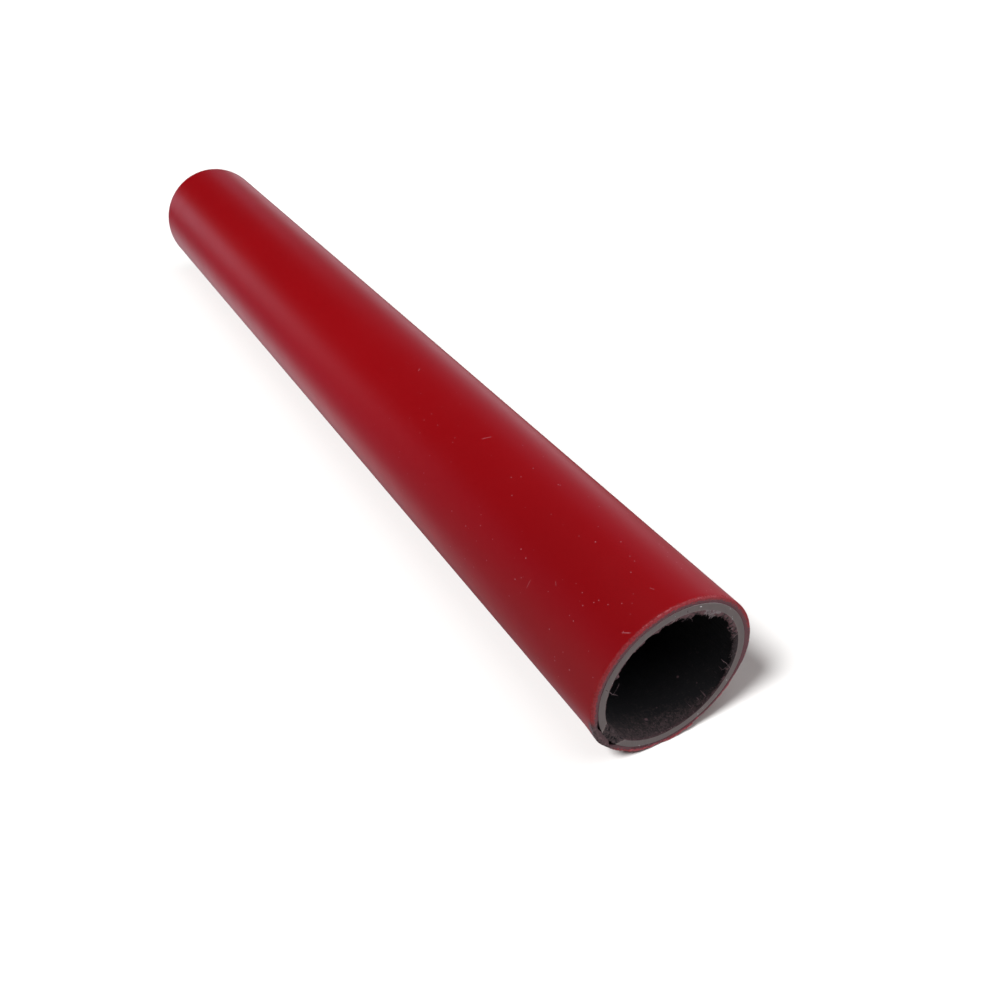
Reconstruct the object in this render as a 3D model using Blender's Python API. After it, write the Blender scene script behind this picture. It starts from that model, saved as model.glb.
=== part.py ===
"""Hand post driver: a steel tube in a red vinyl sleeve, closed at one end by a steel slug welded inside it.

The open mouth drops over a post, and the slug strikes the post's head. The driver lies on its side:
its axis is along X with the mouth towards +X, it rests on z = 0, and the origin is under the middle of
its length. Sizes are in metres.
"""

import math

import bmesh
import bpy

# Driving dimensions
LENGTH = 0.508  # over both ends, 20 in
TUBE_DIAMETER = 0.0603  # outside; 2 in nominal welded pipe
TUBE_WALL = 0.00277
SLEEVE_WALL = 0.0022
SLUG_DIAMETER = 0.0508  # 2 in round bar, which passes the weld flash inside the tube
SLUG_LENGTH = 0.0762
SLUG_INSET = 0.008  # from the tube's end to the slug's outer face, which leaves room for the weld
WELD_LEG = 0.0045
WELD_ROOT = 0.002  # how deep the weld reaches between the slug and the tube
WELD_FLATNESS = 1.5  # of its crown: 1 is a quarter circle, and 2 is flat
FLASH_HEIGHT = 0.0011  # ridge of weld metal left along the tube's inner wall
FLASH_WIDTH = 0.0055
FLASH_FADE = 0.012  # the length over which the ridge has been ground away, next to the slug
FLASH_ANGLE = math.radians(53)  # from straight down, round towards -Y
CONTACT_GAP = 0.0003  # left between parts that touch
SEGMENTS = 96  # facets round every part

# Derived dimensions
TUBE_RADIUS = TUBE_DIAMETER / 2
BORE_RADIUS = TUBE_RADIUS - TUBE_WALL
SLEEVE_BORE = TUBE_RADIUS + CONTACT_GAP
SLEEVE_RADIUS = SLEEVE_BORE + SLEEVE_WALL
SLEEVE_EDGE = SLEEVE_WALL / 2  # radius of the sleeve's outer edges
SLUG_RADIUS = SLUG_DIAMETER / 2
SLUG_CHAMFER = 0.0012
SEGMENT_ANGLE = 2 * math.pi / SEGMENTS
AXIS_HEIGHT = SLEEVE_RADIUS * math.cos(SEGMENT_ANGLE / 2)  # the sleeve rests on a facet
CLOSED_END = -LENGTH / 2
SLUG_OUTER_FACE = CLOSED_END + SLUG_INSET
SLUG_FAR_SIDE = SLUG_INSET + SLUG_LENGTH  # the striking face, from the closed end

# Colour, roughness and metallic value of each part
RED_VINYL = ((0.31, 0.006, 0.008), 0.38, 0.0)
MILL_STEEL = ((0.12, 0.11, 0.105), 0.55, 0.9)
SAWN_STEEL = ((0.20, 0.19, 0.185), 0.5, 0.9)
WELD_METAL = ((0.16, 0.15, 0.145), 0.4, 1.0)


def clear_scene():
    for found in list(bpy.data.objects):
        bpy.data.objects.remove(found)


def material(name, colour, roughness, metallic):
    made = bpy.data.materials.new(name)
    made.use_nodes = True
    shader = made.node_tree.nodes["Principled BSDF"]
    shader.inputs["Base Color"].default_value = (*colour, 1.0)
    shader.inputs["Roughness"].default_value = roughness
    shader.inputs["Metallic"].default_value = metallic
    return made


def new_object(name, shape, finish, axis, start):
    """The finished bmesh as an object on the driver's axis. Its own origin is at start, along X."""
    bmesh.ops.recalc_face_normals(shape, faces=shape.faces)
    mesh = bpy.data.meshes.new(name)
    shape.to_mesh(mesh)
    shape.free()
    mesh.shade_smooth()
    mesh.set_sharp_from_angle(angle=math.radians(30))
    mesh.materials.append(material(name, *finish))
    made = bpy.data.objects.new(name, mesh)
    bpy.context.collection.objects.link(made)
    made.parent = axis
    made.location.x = start
    return made


def driver_axis():
    """An empty at the middle of the centre line, which every part is placed on."""
    axis = bpy.data.objects.new("driver_axis", None)
    bpy.context.collection.objects.link(axis)
    axis.location.z = AXIS_HEIGHT
    return axis


def turned(outline):
    """A solid turned about X from (x, radius) points: a ring, or a bar if both ends are on the axis."""
    shape = bmesh.new()
    half_segment = SEGMENT_ANGLE / 2
    corners = [
        shape.verts.new((x, radius * math.sin(half_segment), -radius * math.cos(half_segment)))
        for x, radius in outline
    ]
    is_bar = outline[0][1] == 0
    edges = [shape.edges.new((corners[i - 1], corners[i])) for i in range(is_bar, len(corners))]
    bmesh.ops.spin(
        shape, geom=corners + edges, cent=(0, 0, 0), axis=(1, 0, 0), angle=2 * math.pi, steps=SEGMENTS
    )
    bmesh.ops.remove_doubles(shape, verts=shape.verts, dist=1e-6)
    return shape


def arc(centre_x, centre_radius, size, first, last, steps):
    """Outline points on an arc between two angles in degrees. 0 is along +X, and 90 points outwards."""
    angles = [math.radians(first + (last - first) * i / steps) for i in range(steps + 1)]
    return [(centre_x + size * math.cos(a), centre_radius + size * math.sin(a)) for a in angles]


def angles_round_tube():
    """Evenly spaced angles, three times as fine where the flash is. The flash is at angle 0."""
    reach = math.ceil(FLASH_WIDTH / 2 / BORE_RADIUS / SEGMENT_ANGLE)
    across_flash = [i * SEGMENT_ANGLE / 3 for i in range(-3 * reach, 3 * reach + 1)]
    elsewhere = [i * SEGMENT_ANGLE for i in range(reach + 1, SEGMENTS - reach)]
    return across_flash + elsewhere


def flash_height(angle):
    """How far the flash stands into the bore, at an angle from its middle. Its section is a cosine hump."""
    across = BORE_RADIUS * math.remainder(angle, 2 * math.pi) / (FLASH_WIDTH / 2)
    return FLASH_HEIGHT * (1 + math.cos(math.pi * across)) / 2 if abs(across) < 1 else 0.0


def driver_tube(axis):
    """Welded pipe, cut square. The flash runs from the mouth, and fades out just before the slug."""
    shape = bmesh.new()

    def ring(x, radius, has_flash=False):
        reaches = [(a, radius - flash_height(a) if has_flash else radius) for a in angles_round_tube()]
        return [shape.verts.new((x, -reach * math.sin(a), -reach * math.cos(a))) for a, reach in reaches]

    rings = [
        ring(0, TUBE_RADIUS),
        ring(LENGTH, TUBE_RADIUS),
        ring(LENGTH, BORE_RADIUS, has_flash=True),
        ring(SLUG_FAR_SIDE + FLASH_FADE, BORE_RADIUS, has_flash=True),
        ring(SLUG_FAR_SIDE, BORE_RADIUS),
        ring(0, BORE_RADIUS),
    ]
    for i, there in enumerate(rings):
        here = rings[i - 1]
        for j in range(len(here)):
            shape.faces.new((here[j - 1], here[j], there[j], there[j - 1]))
    tube = new_object("driver_tube", shape, MILL_STEEL, axis, CLOSED_END)
    tube.rotation_euler.x = -FLASH_ANGLE


def vinyl_sleeve(axis):
    """Thick sleeve over the whole tube, trimmed flush with it at both ends, with soft outer edges."""
    edge_centre = SLEEVE_RADIUS - SLEEVE_EDGE
    outline = [(0, SLEEVE_BORE), (LENGTH, SLEEVE_BORE)]
    outline += arc(LENGTH - SLEEVE_EDGE, edge_centre, SLEEVE_EDGE, 0, 90, 4)
    outline += arc(SLEEVE_EDGE, edge_centre, SLEEVE_EDGE, 90, 180, 4)
    new_object("vinyl_sleeve", turned(outline), RED_VINYL, axis, CLOSED_END)


def striking_slug(axis):
    """Solid round bar in the closed end, with its edges chamfered. Its inner face strikes the post."""
    outline = [
        (0, 0),
        (0, SLUG_RADIUS - SLUG_CHAMFER),
        (SLUG_CHAMFER, SLUG_RADIUS),
        (SLUG_LENGTH - SLUG_CHAMFER, SLUG_RADIUS),
        (SLUG_LENGTH, SLUG_RADIUS - SLUG_CHAMFER),
        (SLUG_LENGTH, 0),
    ]
    new_object("striking_slug", turned(outline), SAWN_STEEL, axis, SLUG_OUTER_FACE)


def slug_weld(axis):
    """Convex fillet weld between the slug's outer face and the tube's wall. Its root is between them."""
    wall = BORE_RADIUS - CONTACT_GAP
    root = SLUG_RADIUS + CONTACT_GAP
    face = -CONTACT_GAP
    crown = [
        (face - WELD_LEG * math.cos(a) ** WELD_FLATNESS, wall - WELD_LEG * math.sin(a) ** WELD_FLATNESS)
        for a in [math.radians(15 * i) for i in range(1, 6)]
    ]
    outline = [(WELD_ROOT, wall), (face - WELD_LEG, wall), *crown, (face, wall - WELD_LEG)]
    outline += [(face, SLUG_RADIUS - SLUG_CHAMFER), (SLUG_CHAMFER, root), (WELD_ROOT, root)]
    new_object("slug_weld", turned(outline), WELD_METAL, axis, SLUG_OUTER_FACE)


def main():
    clear_scene()
    axis = driver_axis()
    driver_tube(axis)
    vinyl_sleeve(axis)
    striking_slug(axis)
    slug_weld(axis)


main()
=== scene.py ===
"""Looks of the hand post driver: a red vinyl sleeve on a saw-cut steel tube, closed by a welded-in slug.

Lengths are in metres. An angle round the driver is in degrees about its axis: 0 is +Y, 90 is up, 180 is -Y
and 270 is down. Depth is the distance from the mouth's plane, which faces +X.
"""

import random
from math import cos, degrees, pi, radians, sin, sqrt

import bpy
import numpy as np
from mathutils import Matrix, Vector


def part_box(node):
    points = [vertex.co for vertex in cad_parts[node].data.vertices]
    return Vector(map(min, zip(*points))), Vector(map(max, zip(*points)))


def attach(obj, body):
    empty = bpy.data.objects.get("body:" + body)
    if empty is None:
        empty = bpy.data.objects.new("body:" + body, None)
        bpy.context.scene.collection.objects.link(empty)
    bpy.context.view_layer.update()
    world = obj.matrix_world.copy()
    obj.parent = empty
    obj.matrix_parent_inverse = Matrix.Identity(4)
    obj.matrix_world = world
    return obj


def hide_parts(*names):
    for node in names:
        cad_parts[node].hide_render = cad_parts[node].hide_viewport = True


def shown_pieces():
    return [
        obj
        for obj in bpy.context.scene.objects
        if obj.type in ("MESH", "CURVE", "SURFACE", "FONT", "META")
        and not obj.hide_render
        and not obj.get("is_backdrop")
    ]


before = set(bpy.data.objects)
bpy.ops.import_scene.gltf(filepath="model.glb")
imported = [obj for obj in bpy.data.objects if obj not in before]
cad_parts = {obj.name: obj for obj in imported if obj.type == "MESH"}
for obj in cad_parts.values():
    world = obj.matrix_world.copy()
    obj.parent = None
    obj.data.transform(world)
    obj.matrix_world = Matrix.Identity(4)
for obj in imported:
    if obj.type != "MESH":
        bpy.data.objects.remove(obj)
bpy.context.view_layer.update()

MM = 0.001

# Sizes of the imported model
SLEEVE_LOW, SLEEVE_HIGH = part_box("vinyl_sleeve")
TUBE_LOW, TUBE_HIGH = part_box("driver_tube")
SLUG_LOW, SLUG_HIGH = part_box("striking_slug")
WELD_LOW, WELD_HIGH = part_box("slug_weld")
MOUTH = TUBE_HIGH.x
CLOSED_END = TUBE_LOW.x
LENGTH = MOUTH - CLOSED_END
AXIS_HEIGHT = (SLEEVE_LOW.z + SLEEVE_HIGH.z) / 2
SLEEVE_RADIUS = SLEEVE_HIGH.y
TUBE_RADIUS = TUBE_HIGH.y
SLUG_RADIUS = SLUG_HIGH.y
TUBE_WALL = 2.77 * MM
BORE_RADIUS = TUBE_RADIUS - TUBE_WALL

# The tube's seam
SEAM_ANGLE = 217.0
SCAR_ANGLE = 214.5  # middle of the dull scar where the seam meets the sawn face
FLASH_HEIGHT = 0.946 * MM
FLASH_WIDTH = 5.5 * MM

# How finely and how softly the shapes are made
AROUND = 960  # points round the sleeve and the tube
FAR_EDGE = 1.16 * MM  # rounding of the sleeve's edge at the closed end
SLUG_CHAMFER = 1.2 * MM


# ---- shapes

def smooth(value, low, high):
    """0 at low, 1 at high, and a smooth step between them. It takes arrays, and high may be the lower."""
    t = np.clip((value - low) / (high - low), 0.0, 1.0)
    return t * t * (3 - 2 * t)


def turn_from(angle, centre):
    """Degrees from centre to angle the short way round, from -180 to 180."""
    return (angle - centre + 180.0) % 360.0 - 180.0


def bump(angle, centre, half_width):
    """1 at centre, falling smoothly to 0 at half_width degrees either side."""
    return smooth(np.abs(turn_from(angle, centre)), half_width, 0.0)


def band(angle, start, end, soft):
    """1 between two angles, and 0 outside them, with soft degrees of blending at each side."""
    middle, half = (start + end) / 2, (end - start) / 2
    return smooth(np.abs(turn_from(angle, middle)), half + soft, half)


def table(stops, angle):
    """Reads a list of (angle, value) between its stops."""
    places, values = np.array(stops).T
    return np.interp(angle % 360.0, places, values)


def shares(steps):
    """0 to 1 in equal steps, both ends included."""
    return [i / steps for i in range(steps + 1)]


def in_mm(*lengths):
    return [length * MM for length in lengths]


def ripple(angle, seed, lowest, highest, fall=0.5):
    """Noise round a circle, of unit size, with from lowest to highest waves a turn."""
    draw = np.random.default_rng(seed)
    waves = np.arange(lowest, highest + 1)
    weights = waves ** -float(fall)
    phases = draw.uniform(0, 2 * pi, len(waves))
    total = np.zeros_like(angle, dtype=float)
    for wave, weight, phase in zip(waves, weights, phases):
        total += weight * np.cos(wave * np.radians(angle) + phase)
    return total / sqrt((weights**2).sum() / 2)


def crinkle(angle, along, seed, grain, radius=BORE_RADIUS):
    """Noise over a cylinder, of unit size, whose bumps are about grain metres across."""
    draw = np.random.default_rng(seed)
    count = 40
    total = np.zeros(np.broadcast(angle, along).shape)
    for _ in range(count):
        heading = draw.uniform(0, 2 * pi)
        waves = 2 * pi / (grain * draw.uniform(0.7, 1.8))
        round_axis = round(waves * cos(heading) * radius)
        lengthwise = waves * sin(heading)
        phase = draw.uniform(0, 2 * pi)
        total += np.cos(round_axis * np.radians(angle) + lengthwise * along + phase)
    return total / sqrt(count / 2)


def mesh_of(name, points, faces):
    mesh = bpy.data.meshes.new(name)
    mesh.from_pydata([tuple(point) for point in points], [], faces)
    return mesh


class Rings:
    """Rings of points about the driver's axis, for a mesh."""

    def __init__(self, around):
        self.angles = np.arange(around)[None, :] * (360.0 / around)
        self.rows = []

    def add(self, x, radius):
        """Adds a ring. x and radius are numbers, or arrays with a value for each angle."""
        shape = self.angles.shape
        self.rows.append((np.broadcast_to(x, shape), np.broadcast_to(radius, shape)))

    def mesh(self, name, closes):
        """The last ring joins the first where closes is true, and otherwise both get a centre point."""
        x, radius = (np.vstack(rows) for rows in zip(*self.rows))
        rings, around = x.shape
        turn = np.radians(np.broadcast_to(self.angles, x.shape))
        points = np.stack([x, radius * np.cos(turn), AXIS_HEIGHT + radius * np.sin(turn)], axis=-1)
        points = points.reshape(-1, 3).tolist()
        faces = []
        for i in range(rings if closes else rings - 1):
            here, there = i * around, ((i + 1) % rings) * around
            for j in range(around):
                k = (j + 1) % around
                faces.append((here + j, there + j, there + k, here + k))
        if not closes:
            for ring, flips in ((0, False), (rings - 1, True)):
                centre = len(points)
                points.append((float(x[ring].mean()), 0.0, AXIS_HEIGHT))
                for j in range(around):
                    a, b = ring * around + j, ring * around + (j + 1) % around
                    faces.append((centre, b, a) if flips else (centre, a, b))
        return mesh_of(name, points, faces)


def put_in_scene(name, data):
    made = bpy.data.objects.new(name, data)
    bpy.context.scene.collection.objects.link(made)
    return made


def add_piece(name, mesh, material, replaced=None, sharp=None):
    """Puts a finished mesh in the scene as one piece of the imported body."""
    mesh.validate()
    mesh.shade_smooth()
    if sharp is not None:
        mesh.set_sharp_from_angle(angle=radians(sharp))
    mesh.materials.append(material)
    piece = put_in_scene(name, mesh)
    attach(piece, "root")
    if replaced:
        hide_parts(replaced)
    return piece


# ---- the sleeve

SLEEVE_EDGE = (  # (angle, rounding of the sleeve's edge at the mouth in mm)
    (0, 0.4), (12, 0.35), (22, 0.35), (45, 0.35), (62, 0.6), (90, 0.85), (200, 1.0), (235, 1.2),
    (243, 1.5), (246, 1.1), (259, 1.1), (263, 1.65), (271, 1.65), (274, 0.9), (291, 0.9), (294, 1.7),
    (335, 1.65), (348, 0.7), (360, 0.4),
)


def sleeve_edge_size(angle):
    """The rounding of the sleeve's edge at the mouth: nearly sharp on the right, and worn underneath."""
    ragged = 0.05 * MM + 0.12 * MM * band(angle, 242, 298, 5)
    size = table(SLEEVE_EDGE, angle) * MM + ragged * ripple(angle, 3, 20, 140)
    return np.clip(size, 0.2 * MM, 2.0 * MM)


def sleeve_bulge(angle, depth):
    """The sleeve stands off the seam at the mouth, where the tube's end is upset."""
    return 0.5 * MM * bump(angle, 211, 12) * smooth(depth, 9 * MM, 0.5 * MM)


def sleeve_gap(angle, depth):
    """The dark gaps on both sides of the seam, between the tube and the sleeve."""
    beside = 0.75 * MM * bump(angle, 196.5, 8.5)
    torn = 1.35 * MM * bump(angle, 221.5, 6) * (1 + 0.25 * ripple(angle, 8, 40, 90))
    return (beside + torn) * smooth(depth, 8 * MM, 1 * MM)


def sleeve_mesh():
    """The sleeve: its bore from the closed end, the cut face at the mouth, the outside, the closed end."""
    rings = Rings(AROUND)
    angles = rings.angles
    bore = TUBE_RADIUS + 0.02 * MM
    for depth in [LENGTH * share for share in (0.999, 0.7, 0.4, 0.2, 0.1, 0.05)] + in_mm(15, 11):
        rings.add(MOUTH - depth, bore)
    for depth in in_mm(8, 6, 4.5, 3.2, 2.2, 1.4, 0.8, 0.35):
        rings.add(MOUTH - depth, bore + sleeve_gap(angles, depth))

    edge = sleeve_edge_size(angles)
    torn = band(angles, 246, 292, 6)
    face_start = bore + sleeve_gap(angles, 0.0)
    face_end = SLEEVE_RADIUS - edge + sleeve_bulge(angles, 0.0)
    for i, share in enumerate(shares(8)):
        rough = np.abs(ripple(angles, 20 + i, 50, 210, 0.3))
        sunk = 0.05 * MM * rough * (1 + 2.2 * torn)
        rings.add(MOUTH - sunk - 0.08 * MM * (1 - share) ** 3, face_start + share * (face_end - face_start))
    for i in range(1, 10):
        turn = radians(90 * i / 9)
        depth = edge * (1 - cos(turn))
        nicks = np.abs(0.035 * MM * ripple(angles, 40 + i, 30, 200, 0.3) * sin(2 * turn))
        radius = SLEEVE_RADIUS - edge + edge * sin(turn) + sleeve_bulge(angles, depth)
        rings.add(MOUTH - depth - nicks, radius - nicks)
    for depth in in_mm(2.1, 2.6, 3.2, 4, 5, 6.2, 7.6, 9.5, 12, 16, 22, 30, 42):
        rings.add(MOUTH - depth, SLEEVE_RADIUS + sleeve_bulge(angles, depth))
    for depth in np.linspace(58 * MM, LENGTH - 30 * MM, 18):
        rings.add(MOUTH - depth, SLEEVE_RADIUS)

    for from_end in in_mm(20, 12, 7, 4, 2.4):
        rings.add(CLOSED_END + from_end, SLEEVE_RADIUS)
    far_edge = FAR_EDGE + 0.06 * MM * ripple(angles, 61, 5, 50)
    for share in shares(8):
        turn = radians(90 * share)
        from_end = far_edge * (1 - sin(turn))
        rings.add(CLOSED_END + from_end, SLEEVE_RADIUS - far_edge + far_edge * cos(turn))
    for i in range(1, 5):
        radius = SLEEVE_RADIUS - far_edge + (bore - SLEEVE_RADIUS + far_edge) * i / 4
        rings.add(CLOSED_END + 0.05 * MM * np.abs(ripple(angles, 70 + i, 50, 200, 0.3)), radius)
    return rings.mesh("vinyl_sleeve_skin", closes=True)


# ---- the tube

BURR_REACH = (  # (angle, how far the saw's burr stands into the bore in mm)
    (0, 1.9), (14, 1.5), (28, 1.8), (44, 1.3), (62, 2.3), (72, 1.9), (85, 1.7), (96, 1.2), (105, 0.9),
    (109, 0.9), (112, 1.6), (116, 0.7), (135, 0.5), (151, 0.5), (155, 1.6), (159, 0.45), (190, 0.15),
    (236, 0.2), (262, 0.35), (300, 0.4), (325, 0.5), (338, 0.9), (343, 1.5), (351, 1.2), (360, 1.9),
)
BURR_CURVE = (  # (share of the burr's reach, how far it sinks into the bore in mm)
    (0.35, 0.06), (0.7, 0.16), (0.93, 0.3), (1.0, 0.44), (0.9, 0.6), (0.5, 0.72), (0.15, 0.95),
)
BORE_DEPTHS = in_mm(1.4, 2, 2.7, 3.5, 4.4, 5.5, 6.8, 8.2, 10, 12, 14.5, 17.5, 21, 25, 30, 36, 44)


def burr(angle):
    """How far the burr reaches into the bore, with its torn edge."""
    ragged = 1 + 0.18 * ripple(angle, 101, 12, 60, 0.4) + 0.13 * ripple(angle, 102, 60, 240, 0.2)
    return table(BURR_REACH, angle) * MM * np.clip(ragged, 0.35, 1.45) + 0.05 * MM


def seam_scar(angle, share):
    """Where the cut missed the seam: a dull dip in the end face, wide at the bore and narrow outside."""
    half_width = 15.0 - 6.0 * share + 1.2 * ripple(angle, 110, 20, 120, 0.3)
    return smooth(np.abs(turn_from(angle, SCAR_ANGLE)), half_width, half_width - 3.5)


def flash(angle, depth):
    """The weld flash's height in the bore. It is lumpy, and gone where the slug is."""
    across = np.abs(np.radians(turn_from(angle, SEAM_ANGLE)) * BORE_RADIUS) / (FLASH_WIDTH / 2)
    hump = np.where(across < 1, (1 + np.cos(pi * np.minimum(across, 1))) / 2, 0.0)
    lumps = 1 + 0.12 * sin(depth / (3.1 * MM)) + 0.08 * sin(depth / (1.3 * MM) + 1)
    ground = smooth(MOUTH - depth, SLUG_HIGH.x, SLUG_HIGH.x + 12 * MM)
    return FLASH_HEIGHT * hump * lumps * ground


def tube_mesh():
    """The tube: its outside from the closed end, the sawn face, the burr, the bore, and the closed end."""
    rings = Rings(AROUND)
    angles = rings.angles
    upset = 0.38 * MM * bump(angles, 210, 9)
    rings.add(CLOSED_END + 0.12 * MM, TUBE_RADIUS)
    rings.add(MOUTH - 10 * MM, TUBE_RADIUS)
    rings.add(MOUTH - 2 * MM, TUBE_RADIUS + upset * 0.5)
    rings.add(MOUTH - 0.15 * MM - 0.3 * MM * seam_scar(angles, 1), TUBE_RADIUS + upset)
    for i in range(12):
        share = 1 - i / 11
        radius = BORE_RADIUS + (TUBE_WALL - 0.1 * MM) * share + upset * share
        rough = 0.012 * MM * np.abs(ripple(angles, 120 + i, 60, 300, 0.2))
        torn = np.abs(ripple(angles, 140 + i, 30, 160, 0.3))
        rings.add(MOUTH - rough - seam_scar(angles, share) * MM * (0.22 + 0.13 * torn), radius)

    reach = burr(angles)
    scar = seam_scar(angles, 0)
    for share, sinks in BURR_CURVE:
        seed = int(share * 100)
        curl = 0.12 * MM * ripple(angles, 160 + seed, 16, 90, 0.4) * share
        depth = np.clip(sinks * MM * (0.55 + 0.25 * reach / MM) + curl, 0.02 * MM, None)
        jag = 1 + 0.1 * ripple(angles, 180 + seed, 60, 260, 0.2)
        rings.add(MOUTH - depth - 0.35 * MM * scar, BORE_RADIUS - share * reach * jag)

    to_slug = MOUTH - SLUG_HIGH.x
    far = list(np.linspace(56 * MM, to_slug - 14 * MM, 22))
    for depth in BORE_DEPTHS + far + [to_slug - left for left in in_mm(9, 5, 2, 0)]:
        pits = 0.035 * MM * crinkle(angles, depth, 190, 1.6 * MM) * smooth(depth, 60 * MM, 2 * MM)
        rings.add(MOUTH - depth, BORE_RADIUS - flash(angles, depth) + pits)

    rings.add(CLOSED_END + 0.25 * MM, BORE_RADIUS)
    for i, share in enumerate(shares(4)):
        rough = 0.02 * MM * np.abs(ripple(angles, 220 + i, 60, 300, 0.2))
        rings.add(CLOSED_END + rough, BORE_RADIUS + 0.12 * MM + (TUBE_WALL - 0.22 * MM) * share)
    return rings.mesh("driver_tube_skin", closes=True)


# ---- slivers of vinyl and steel

# (start angle, end angle, share of the count)
SHRED_STRETCHES = ((243, 262, 0.32), (262, 271, 0.06), (271, 293, 0.5), (297, 300, 0.04), (318, 334, 0.08))
BURR_STRETCHES = ((-12, 92, 0.75), (92, 170, 0.15), (250, 345, 0.1))
SHRED_COUNT = 260
BURR_COUNT = 200

SWARF = (  # (angle, start and end outward from the bore's edge in mm, sweep, width in mm, how far it sinks)
    (87, 1.5, -5.2, -10, 0.22, 1.2),
    (164, 1.7, -5.2, 13, 0.2, 1.0),
    (170, -1.6, -5.0, -5, 0.1, 1.6),
    (342, 0.1, -4.6, 10, 0.24, 1.5),
    (347, 0.1, -2.6, -7, 0.2, 1.2),
)


def add_sliver(points, faces, path, widths, thickness, side):
    """Adds a closed, tapering strip along a path of points. side is the direction of its width."""
    start = len(points)
    for i, (place, width) in enumerate(zip(path, widths)):
        ahead = path[min(i + 1, len(path) - 1)] - path[max(i - 1, 0)]
        across = side - ahead * (side.dot(ahead) / ahead.length_squared)
        across = across.normalized() * width / 2
        up = ahead.cross(across).normalized() * thickness / 2
        points += [place - across - up, place + across - up, place + across + up, place - across + up]
    for i in range(len(path) - 1):
        a = start + 4 * i
        for k in range(4):
            m = (k + 1) % 4
            faces.append((a + k, a + m, a + 4 + m, a + 4 + k))
    end = start + 4 * (len(path) - 1)
    faces.append((start + 3, start + 2, start + 1, start))
    faces.append((end, end + 1, end + 2, end + 3))


def mouth_point(angle, radius, depth):
    turn = radians(angle)
    return Vector((MOUTH - depth, radius * cos(turn), AXIS_HEIGHT + radius * sin(turn)))


def kept_inside(point):
    """The point, pulled back behind the mouth's plane and into the sleeve's outside."""
    across = Vector((point.y, point.z - AXIS_HEIGHT))
    shrink = min(1.0, SLEEVE_RADIUS / across.length)
    return min(point.x, MOUTH), across.x * shrink, AXIS_HEIGHT + across.y * shrink


def sliver_mesh(name, points, faces):
    return mesh_of(name, [kept_inside(point) for point in points], faces)


def many_slivers(name, draws, count, stretches, place_one):
    """Slivers in one mesh, spread at random over each stretch of the rim."""
    points, faces = [], []
    for start, end, share in stretches:
        for _ in range(round(count * share)):
            place_one(points, faces, draws, draws.uniform(start, end))
    return sliver_mesh(name, points, faces)


def vinyl_shred(points, faces, draws, angle):
    """A shred of red vinyl at the sleeve's worn edge. It stands out from the edge, or lies along it."""
    edge = float(sleeve_edge_size(np.array([[angle]]))[0, 0])
    stands = draws.random() < 0.65
    root = SLEEVE_RADIUS - edge + draws.uniform(0.0, 0.4) * MM
    rise = draws.uniform(0.5, 1.3) if stands else draws.uniform(0.1, 0.6)
    run = draws.choice((-1, 1)) * (draws.uniform(0.05, 0.6) if stands else draws.uniform(0.6, 1.6))
    base_width = draws.uniform(0.4, 0.9) if stands else draws.uniform(0.25, 0.45)
    path, widths = [], []
    for t in shares(6):
        sweep = degrees(run * MM * t / root)
        wave = 0.06 * MM * sin(4 * t + draws.uniform(-0.5, 0.5))
        out = min(root + rise * MM * t + wave, SLEEVE_RADIUS - 0.03 * MM)
        path.append(mouth_point(angle + sweep, out, (0.12 + 0.35 * t * t) * MM))
        widths.append(base_width * MM * (1 - 0.7 * t**1.5))
    along = Vector((0, -sin(radians(angle)), cos(radians(angle))))
    side = along if stands else Vector((1, 0, 0.3))
    add_sliver(points, faces, path, widths, 0.16 * MM, side)


def steel_sliver(points, faces, draws, angle):
    """A curl of burr that hangs from the bore's edge."""
    reach = float(burr(np.array([[angle]]))[0, 0])
    length = reach * draws.uniform(0.6, 1.25) + 0.25 * MM
    lean = draws.uniform(-1.3, 1.3)
    path, widths = [], []
    for t in shares(5):
        inward = BORE_RADIUS + 0.1 * MM - length * t
        sweep = degrees(lean * length * t * t / BORE_RADIUS)
        depth = (0.12 + 0.5 * t * t) * MM + 0.1 * MM * sin(2.5 * t + lean)
        path.append(mouth_point(angle + sweep, inward, max(depth, 0.04 * MM)))
        widths.append(draws.uniform(0.1, 0.34) * MM * (1 - 0.7 * t))
    side = Vector((0.2, 0.5, 0.8)).cross(path[-1] - path[0])
    add_sliver(points, faces, path, widths, 0.09 * MM, side)


def hair(points, faces, angle, start_radius, end_radius, sweep, widest, sink):
    """A long thin curl of swarf caught on the rim."""
    path, widths = [], []
    for t in shares(18):
        radius = start_radius + (end_radius - start_radius) * t
        wave = 0.7 * sin(5 * t) + 0.3 * sin(11 * t + 1)
        path.append(mouth_point(angle + sweep * t**1.3 + wave, radius, (0.04 + sink * t * t) * MM))
        widths.append(widest * (1 - 0.6 * t))
    add_sliver(points, faces, path, widths, 0.6 * widest, Vector((0, 0.6, 0.8)))


def swarf_mesh():
    """Thin curls of swarf that the saw left hanging on the rim."""
    points, faces = [], []
    for angle, start, end, sweep, width, sink in SWARF:
        start_radius, end_radius = BORE_RADIUS + start * MM, BORE_RADIUS + end * MM
        hair(points, faces, angle, start_radius, end_radius, sweep, width * MM, sink)
    return sliver_mesh("swarf", points, faces)


# ---- the closed end

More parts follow.
